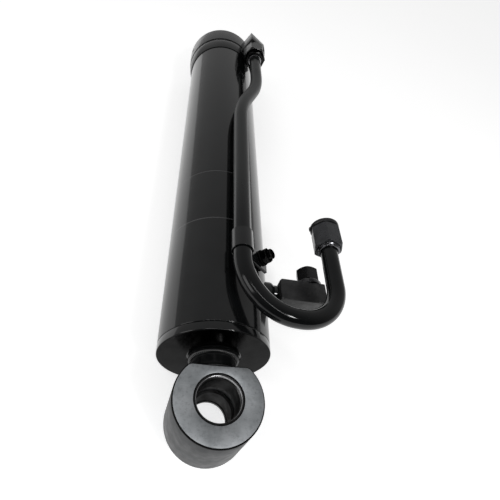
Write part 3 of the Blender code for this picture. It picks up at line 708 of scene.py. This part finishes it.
def fit_eye(prefix, body, half_width, centre):
    """A seal, its case or inner lip, and a bush, from each face of an eye inwards."""
    for side, sign in (("upper", 1.0), ("lower", -1.0)):
        top = half_width - 0.0005
        low = top - 0.0026
        seal = lathe(f"{prefix}_lip_{side}", [
            (SEAL_INNER_R + 0.0003, sign * low), (EYE_BORE_R - 0.0001, sign * low),
            (EYE_BORE_R - 0.0001, sign * (top - 0.0004)), (EYE_BORE_R - 0.0004, sign * top),
            (SEAL_INNER_R + 0.0006, sign * (top - 0.0001)), (SEAL_INNER_R + 0.0003, sign * (top - 0.0006)),
        ], RUBBER, "Z", centre, FITTING, 60.0)
        belongs(seal, body, "rubber", f"{prefix}_seal_{side}")
        # a steel case in the upper seal, a rubber lip that bears on the pin in the lower one
        has_case = side == "upper"
        lip_r = SEAL_INNER_R - 0.0001 if has_case else 0.0145
        case = lathe(f"{prefix}_seal_case_{side}", [
            (lip_r, sign * low), (SEAL_INNER_R + 0.0002, sign * low),
            (SEAL_INNER_R + 0.0002, sign * (top - 0.0001)), (lip_r, sign * (top - 0.0003)),
        ], TURNED if has_case else RUBBER, "Z", centre, FITTING)
        belongs(case, body, "bare_steel" if has_case else "rubber")
        bush_top = low - GAP
        bush_low = bush_top - BUSH_LENGTH
        chamfer = 0.0006
        bush = lathe(f"{prefix}_bearing_{side}", [
            (PIN_R, sign * (bush_low + chamfer)), (PIN_R + chamfer, sign * bush_low),
            (EYE_BORE_R - GAP, sign * bush_low), (EYE_BORE_R - GAP, sign * bush_top),
            (PIN_R + chamfer, sign * bush_top), (PIN_R, sign * (bush_top - chamfer)),
        ], BUSH, "Z", centre, FITTING)
        belongs(bush, body, "bush_steel", f"{prefix}_bush_{side}")


# ---------------------------------------------------------------- head end
def build_head():
    """The collar round the head end, the gland nut and the wiper that the rod runs through."""
    sleeve = lathe("head_collar", [
        (BARREL_R + GAP, SLEEVE_Y[0]), (SLEEVE_R - 0.0024, SLEEVE_Y[0]),
        (SLEEVE_R - 0.0021, SLEEVE_Y[0] + 0.0004), (SLEEVE_R, SLEEVE_Y[0] + 0.0120),
        (SLEEVE_R, SLEEVE_Y[1] - 0.0006), (SLEEVE_R - 0.0004, SLEEVE_Y[1]), (BARREL_R + GAP, SLEEVE_Y[1]),
    ], HEAD_PAINT)
    belongs(sleeve, "barrel", "black_paint", "head_sleeve")
    start = SLEEVE_Y[1] + 0.0004
    edge = 0.0014
    mouth_r = 0.0240
    nut = lathe("gland_cap", [
        (BARREL_R + GAP, start), (GLAND_NUT_R - 0.0008, start), (GLAND_NUT_R - 0.0005, start + 0.0004),
        (GLAND_NUT_R, start + 0.0080), (GLAND_NUT_R, RIM_Y - edge),
        *arc(GLAND_NUT_R - edge, RIM_Y - edge, edge, 0.0, 90.0, 5),
        (mouth_r + 0.0006, RIM_Y), (mouth_r, RIM_Y - 0.0006), (mouth_r, TUBE_END_Y + GAP),
        (BARREL_R + GAP, TUBE_END_Y + GAP),
    ], HEAD_PAINT)
    holes = []
    for angle in SPANNER_HOLE_ANGLES:
        out = Vector((math.cos(angle), 0.0, math.sin(angle)))
        floor = Vector((0.0, SPANNER_HOLE_Y, 0.0)) + out * 0.0462
        holes.append(plain_round("hole", floor, floor + out * 0.006, 0.0032))
    belongs(carve(nut, *holes), "barrel", "black_paint", "gland_nut")
    wiper_r = 0.0219
    wiper = lathe("rod_wiper_lip", [
        (ROD_R + 0.0010, RIM_Y - 0.0077), (wiper_r, RIM_Y - 0.0077), (wiper_r, RIM_Y - 0.0010),
        (wiper_r - 0.0006, RIM_Y - 0.0004), (wiper_r - 0.0015, RIM_Y - 0.0002),
        (ROD_R + 0.0002, RIM_Y - 0.0002), (ROD_R + 0.0002, RIM_Y - 0.0016),
    ], RUBBER, sides=FITTING)
    belongs(wiper, "barrel", "rubber", "rod_wiper")


def build_head_port():
    """The block on the collar, its hexagon boss, and the nipple and nut that hold the transfer tube."""
    x, z = HEAD_BLOCK_CENTRE
    half = HEAD_BLOCK_HALF
    turn = Matrix.Rotation(-HEAD_BLOCK_TURN, 4, "Y")
    corner = 0.0060
    outline = [(-half, -half), (half, -half), (half, half - corner), (half - corner, half), (-half, half)]
    upright = Matrix(((1, 0, 0, 0), (0, 0, 1, 0), (0, -1, 0, 0), (0, 0, 0, 1)))
    place = Matrix.Translation((x, 0.0, z)) @ turn @ upright
    boss_depth = 0.0030         # the boss takes this much of the block's length, towards the tube
    start, end = HEAD_BLOCK_Y
    block = slab("head_port_body", outline, start + boss_depth, end, HEAD_PAINT, place, 0.0004)
    carve(block, saddle(SLEEVE_R, 0.48, 0.53))
    belongs(block, "barrel", "cast_black", "head_port_block")

    port_x, port_z = HEAD_PORT
    centre = (port_x, 0.0, port_z)
    face = start - GAP
    thread_r = 0.0078
    thread_end = face + 0.0070
    socket_r = LINE_R + GAP     # the tube's end sits in the nipple's socket
    socket_start, socket_end = 0.4716, 0.4752
    nipple_r = 0.0090
    collar_r = 0.0125
    collar_start = ADAPTER_Y + 0.0030
    neck = lathe("head_port_nipple", [
        (PASSAGE_R, thread_end), (PASSAGE_R, socket_end), (socket_r, socket_end), (socket_r, socket_start),
        (nipple_r, socket_start), (nipple_r, collar_start), (collar_r, collar_start), (collar_r, face),
        (thread_r, face), (thread_r, thread_end),
    ], ZINC, centre=centre, sides=FITTING)
    adapter = hexagon_nut("head_port_boss", 0.0156, ADAPTER_Y, face + boss_depth - GAP, 0.0127, HEAD_PAINT,
                          along("Y", centre), math.radians(30.0))
    belongs(adapter, "barrel", "cast_black", "head_port_adapter")
    belongs(neck, "barrel", "cast_black")
    nut = hexagon_nut("head_line_nut", HEX_R, 0.4655, ADAPTER_Y - GAP, 0.0093, FASTENER, along("Y", centre),
                      math.radians(73.0))
    belongs(nut, "barrel", "black_zinc", "head_tube_nut")
    ferrule_start, ferrule_end = 0.4650, 0.4712
    ferrule = lathe("head_line_ferrule", [
        (socket_r, ferrule_start), (0.0086, ferrule_start), (nipple_r, ferrule_start + 0.0006),
        (nipple_r, ferrule_end), (socket_r, ferrule_end),
    ], TURNED, centre=centre, sides=FITTING)
    belongs(ferrule, "barrel", "bare_steel", "head_tube_ferrule")


# ---------------------------------------------------------------- transfer tube and its free end
def build_line():
    """The transfer tube, the rings on its free end and the swivel nut over them."""
    outer = circle(LINE_R, 40)
    path = rounded_path(LINE_CORNERS, LINE_RADII)
    line = sweep("transfer_line", path, outer, LINE_PAINT)
    belongs(line, "barrel", "black_paint", "transfer_tube")
    x, z = SWIVEL
    centre = (x, 0.0, z)
    start, end = SWIVEL_Y
    sleeve = lathe("line_end_rings", [
        (LINE_R + 2.0 * GAP, start - 0.0030), (0.0089, start - 0.0030),
        *arc(0.0089, start - 0.0022, 0.0008, -60.0, 60.0, 4),
        (0.0086, start - 0.0010), (0.0089, start - 0.0004), (0.0096, start), (0.0099, start + 0.0006),
        (0.0099, start + 0.0020), (0.0092, start + 0.0034), (0.0092, start + 0.0070),
        (LINE_R + 2.0 * GAP, start + 0.0070),
    ], DARK_STEEL, centre=centre, sides=FITTING)
    belongs(sleeve, "barrel", "bare_steel", "line_end_sleeve")
    place = along("Y", centre)
    nut = hexagon_nut("line_swivel_nut", HEX_R, start, end, 0.0101, NUT_GREY, place, math.radians(40.0))
    belongs(nut, "swivel", "black_zinc", "swivel_nut")
    build_plug(place, centre, end)


def build_plug(place, centre, end):
    """The dust plug in the swivel nut, with the tab that it is pulled by."""
    face = end + GAP
    shank_r = 0.0098
    rim_r = 0.0124
    plug = lathe("line_dust_plug", [
        (0.0, face + 0.0038), (0.0060, face + 0.0038), (0.0066, face + 0.0034), (0.0112, face + 0.0034),
        (0.0118, face + 0.0038), (rim_r, face + 0.0038), *arc(rim_r, face + 0.0030, 0.0008, 90.0, 0.0, 4),
        (0.0132, face + 0.0006), (0.0128, face), (shank_r, face), (shank_r, end - 0.0100),
        (0.0086, end - 0.0120), (0.0, end - 0.0120),
    ], PLASTIC, centre=centre, sides=FITTING)
    belongs(plug, "swivel", "plastic", "line_plug")
    outline = [(0.0120, -0.0024), (0.0138, -0.0020), (0.0142, 0.0), (0.0138, 0.0020), (0.0120, 0.0024)]
    tab_place = place @ Matrix.Rotation(math.radians(-105.0), 4, "Z")
    tab = slab("line_plug_tab", outline, face + 0.0006, face + 0.0032, PLASTIC, tab_place, 0.0004)
    belongs(tab, "swivel", "plastic")


# ---------------------------------------------------------------- base port
def build_base_port():
    """A stub on the barrel, the cast block at its end, and a capped union in the block."""
    y, z = STUB
    neck_r = 0.0070
    stub = lathe("base_port_neck", [
        (PASSAGE_R, 0.0300), (0.0092, 0.0300), (0.0092, 0.0440), (0.0088, 0.0455), (0.0077, 0.0470),
        (neck_r, 0.0481), (neck_r, BASE_BLOCK_X[0] - GAP), (PASSAGE_R, BASE_BLOCK_X[0] - GAP),
    ], PAINT, "X", (0.0, y, z), FITTING)
    carve(stub, saddle(BARREL_R, 0.05, 0.16))
    belongs(stub, "barrel", "black_paint", "base_port_stub")

    middle = Vector([(a + b) / 2.0 for a, b in (BASE_BLOCK_X, BASE_BLOCK_Y, BASE_BLOCK_Z)])
    half = [(b - a) / 2.0 for a, b in (BASE_BLOCK_X, BASE_BLOCK_Y, BASE_BLOCK_Z)]
    corner = 0.0022
    outline = [(half[0], half[1]), (-half[0] + corner, half[1]), (-half[0], half[1] - corner),
               (-half[0], -half[1]), (half[0], -half[1])]
    block = slab("base_port_body", outline, -half[2], half[2], CASTING, Matrix.Translation(middle), 0.0009)
    x, z = BASE_PORT
    carve(block, plain_round("port", (x, BASE_BLOCK_Y[0] + 0.006, z), (x, BASE_BLOCK_Y[1] + 0.01, z), 0.0078))
    belongs(block, "barrel", "cast_black", "base_port_block")

    face = BASE_BLOCK_Y[1] + GAP
    nose_r = 0.0066
    nose_end = face + 0.0150
    cap_end = nose_end + 0.0045
    centre = (x, 0.0, z)
    adapter = lathe("base_port_union", [
        (PASSAGE_R, face - 0.0080), (0.0075, face - 0.0080), (0.0075, face), (0.0114, face),
        (0.0118, face + 0.0005), (0.0118, face + 0.0036), (0.0112, face + 0.0045), (nose_r, face + 0.0045),
        (nose_r, nose_end), (PASSAGE_R, nose_end),
    ], ZINC, centre=centre, sides=FITTING)
    belongs(adapter, "barrel", "black_zinc", "base_port_adapter")
    cap = hexagon_nut("base_port_cover", 0.0109, face + 0.0048, cap_end, nose_r + GAP, ZINC,
                      along("Y", centre), math.radians(40.0))
    disc_r = nose_r + 0.0001
    end_disc = lathe("base_port_cover_end", [
        (0.0, nose_end + 0.0004), (disc_r, nose_end + 0.0004), (disc_r, cap_end - 0.0004),
        (disc_r - 0.0006, cap_end), (0.0, cap_end),
    ], ZINC, centre=centre, sides=FITTING)
    belongs(cap, "barrel", "black_zinc", "base_port_cap")
    belongs(end_disc, "barrel", "black_zinc")


# ---------------------------------------------------------------- tube clamp
def build_clamp():
    """A strap round the transfer tube, with an ear that is bolted to a foot on the barrel."""
    place = radial(CLAMP_ANGLE, CLAMP_STUD_Y)
    x, z = CLAMP_RING
    inner = LINE_R + GAP
    outer = inner + 0.0010
    lip = 0.0003
    start, end = CLAMP_STRAP_Y
    strap = lathe("clamp_band", [
        (inner, start + lip), (outer - lip, start), (outer, start + lip),
        (outer, end - lip), (outer - lip, end), (inner, end - lip),
    ], PAINT, centre=(x, 0.0, z), sides=FITTING)
    belongs(strap, "barrel", "black_paint", "clamp_strap")

    ear_low, ear_high = 0.0470, 0.0496
    foot_half = 0.0072
    spot = place.inverted() @ Vector((x, CLAMP_STUD_Y, z))
    side = math.copysign(1.0, spot.y)
    reach = abs(spot.y) - math.sqrt(outer ** 2 - (spot.z - ear_low) ** 2) + 0.0006
    ends = sorted((-side * foot_half, side * reach))
    low, high = 0.1050 - CLAMP_STUD_Y, 0.1205 - CLAMP_STUD_Y
    outline = [(low, ends[0]), (high, ends[0]), (high, ends[1]), (low, ends[1])]
    ear = slab("clamp_ear", outline, ear_low, ear_high, PAINT, place, 0.0006)
    belongs(ear, "barrel", "black_paint")
    square = [(a * foot_half, b * foot_half) for a, b in ((-1, -1), (1, -1), (1, 1), (-1, 1))]
    pad = slab("clamp_foot", square, 0.040, ear_low - GAP, PAINT, place, 0.0009)
    carve(pad, saddle(BARREL_R, 0.09, 0.14))
    belongs(pad, "barrel", "black_paint", "clamp_pad")

    stud_r = 0.0045
    stud = lathe("clamp_bolt", [
        (0.0, 0.0450), (stud_r, 0.0450), (stud_r, 0.0598), (stud_r - 0.0008, 0.0606), (0.0, 0.0606),
    ], FASTENER, "Z", (0.0, 0.0, 0.0), 40)
    stud.data.transform(place)
    belongs(stud, "barrel", "black_zinc", "clamp_stud")
    hole_r = stud_r + GAP
    top = ear_high + 0.0018
    washer = lathe("clamp_disc", [
        (hole_r, ear_high + GAP), (0.0070, ear_high + GAP), (0.0070, top - GAP), (0.0066, top), (hole_r, top),
    ], FASTENER, "Z", (0.0, 0.0, 0.0), 48)
    washer.data.transform(place)
    belongs(washer, "barrel", "black_zinc", "clamp_washer")
    nut = hexagon_nut("clamp_hex", 0.0069, ear_high + 0.0021, ear_high + 0.0073, hole_r, FASTENER, place,
                      math.radians(20.0))
    belongs(nut, "barrel", "black_zinc", "clamp_nut")


# ---------------------------------------------------------------- rod
def build_rod():
    """The rod, from the nose that the piston nut sits on to the weld at its eye."""
    nose, spigot, spigot_end = 0.0620, 0.0125, 0.1503
    end = ROD_EYE_Y - ROD_EYE_FLAT - GAP
    rod = lathe("piston_rod", [
        (0.0, nose), (spigot - 0.0020, nose), (spigot, nose + 0.0020), (spigot, spigot_end),
        (ROD_R - 0.0015, spigot_end), (ROD_R, spigot_end + 0.0040), (ROD_R, 0.3000), (ROD_R, end - 0.0008),
        (ROD_R - 0.0008, end), (0.0, end),
    ], CHROME, sides=96)
    belongs(rod, "rod", "chrome", "rod")
    bead = weld_bead("rod_weld", circle_spots(ROD_R + 0.0002, end - 0.0006), 0.0017, TURNED)
    belongs(bead, "rod", "bare_steel")


build_barrel()
build_eye("base", "barrel", 0.0320, 0.0251, 0.0236, 0.0, 1.0)
build_head()
build_head_port()
build_line()
build_base_port()
build_clamp()
build_rod()
build_eye("rod", "rod", 0.0300, 0.0220, ROD_EYE_FLAT, ROD_EYE_Y, -1.0)


# ---------------------------------------------------------------- studio and camera
def build_floor():
    """A pale floor that gives off light, with a painted shadow: its light is a little dimmer close round the
    part, and fades out far from it.
    """
    f = Finish("pale_floor", 0.85)
    f.shader.inputs["Emission Strength"].default_value = 0.66
    f.colour(f.mixed(f.noise(3.0, 4.0), (0.84, 0.84, 0.84), (0.88, 0.88, 0.88)))
    centre = (cad_low + cad_high) / 2.0
    reach = (cad_high - cad_low) / 2.0
    away = f.vector_step("SUBTRACT", f.coordinates, (centre.x, centre.y, cad_low.z))[0]
    size = f.vector_step("ABSOLUTE", away)[0]
    beyond = f.vector_step("SUBTRACT", size, (reach.x * 0.6, reach.y - 0.01, 0.02))[0]
    outside = f.vector_step("MAXIMUM", beyond, (0.0, 0.0, 0.0))[0]
    distance = f.vector_step("LENGTH", outside)["Value"]
    # painted shadow: the floor gives off less light within 6 cm of the part
    clear_of_painted_shadow = f.spread(distance, 0.0, 0.06, 0.0, 1.0)
    fade = f.spread(distance, 2.00, 2.60, 0.0, 1.0)
    tone = f.mixed(fade, f.mixed(clear_of_painted_shadow, (0.92, 0.92, 0.92), (1.0, 1.0, 1.0)), (0.30, 0.30, 0.30))
    f.links.new(tone, f.shader.inputs["Emission Color"])
    half = 1.6
    level = cad_low.z - 0.0004
    far = half + 1.0
    corners = [(-half, -half, level), (half, -half, level), (half, far, level), (-half, far, level)]
    floor = make("studio_floor", corners, [(0, 1, 2, 3)], f.material)


def sky():
    """A dim studio: lighter near the horizon and behind the part, dark behind the camera."""
    world = bpy.data.worlds.new("studio")
    bpy.context.scene.world = world
    world.use_nodes = True
    nodes, links = world.node_tree.nodes, world.node_tree.links
    coordinates = nodes.new("ShaderNodeTexCoord")
    split = nodes.new("ShaderNodeSeparateXYZ")
    links.new(coordinates.outputs["Generated"], split.inputs[0])
    height = nodes.new("ShaderNodeValToRGB")
    depth = nodes.new("ShaderNodeMapRange")
    links.new(split.outputs["Z"], height.inputs["Fac"])
    links.new(split.outputs["Y"], depth.inputs["Value"])
    levels = ((0.0, 0.46), (0.18, 0.40), (0.45, 0.41), (1.0, 0.34))
    elements = height.color_ramp.elements
    elements[0].position, elements[1].position = levels[0][0], levels[-1][0]
    for position, _ in levels[1:-1]:
        elements.new(position)
    for element, (_, level) in zip(elements, levels):
        element.color = (level, level, level, 1.0)
    numbers = {"From Min": -0.65, "From Max": 0.35, "To Min": 0.12, "To Max": 1.0}
    for socket, number in numbers.items():
        depth.inputs[socket].default_value = number
    links.new(height.outputs["Color"], nodes["Background"].inputs["Color"])
    links.new(depth.outputs["Result"], nodes["Background"].inputs["Strength"])


def add_lamp(name, width, length, power):
    data = bpy.data.lights.new(name, "AREA")
    data.shape = "RECTANGLE"
    data.size = width
    data.size_y = length
    data.energy = power
    lamp = bpy.data.objects.new(name, data)
    bpy.context.scene.collection.objects.link(lamp)
    return lamp


def square_light(name, place, target, size, power):
    lamp = add_lamp(name, size, size, power)
    lamp.location = place
    lamp.rotation_euler = (Vector(target) - Vector(place)).to_track_quat("-Z", "Y").to_euler()


def strip_light(name, start, end, target, width, power):
    """A long narrow lamp that runs from one place to another and faces the target."""
    start, end, target = Vector(start), Vector(end), Vector(target)
    middle = (start + end) / 2.0
    along_strip = (end - start).normalized()
    back = (middle - target).normalized()
    back = (back - along_strip * back.dot(along_strip)).normalized()
    across = back.cross(along_strip)
    turn = Matrix((along_strip, across, back)).transposed().to_4x4()
    lamp = add_lamp(name, (end - start).length, width, power)
    lamp.matrix_world = Matrix.Translation(middle) @ turn


def build_camera():
    """A camera above the base eye that looks along the barrel; right, up and back are its own axes."""
    data = bpy.data.cameras.new("camera")
    data.lens = 28.68
    data.sensor_width = 36.0
    data.shift_x = -0.0013
    data.shift_y = 0.0049
    data.clip_start = 0.01
    camera = bpy.data.objects.new("camera", data)
    right = Vector((0.96371, -0.03445, 0.26472))
    up = Vector((-0.14543, 0.76382, 0.62883))
    back = Vector((-0.22386, -0.64451, 0.73109))
    turn = Matrix((right, up, back)).transposed().to_4x4()
    place = Vector((-0.0537, -0.0977, 0.2862))
    camera.matrix_world = Matrix.Translation(place) @ turn
    bpy.context.scene.collection.objects.link(camera)
    bpy.context.scene.camera = camera


bpy.context.scene.view_settings.view_transform = "Standard"
build_floor()
sky()
square_light("key", (0.45, -0.65, 1.00), (0.0, 0.2, 0.0), 0.20, 4.0)
strip_light("overhead", (-0.60, 0.10, 1.05), (0.35, -0.75, 0.92), (0.0, 0.1, 0.0), 0.045, 2.0)
square_light("left", (-1.20, -0.10, 0.60), (0.0, 0.25, 0.0), 0.60, 3.0)
build_camera()
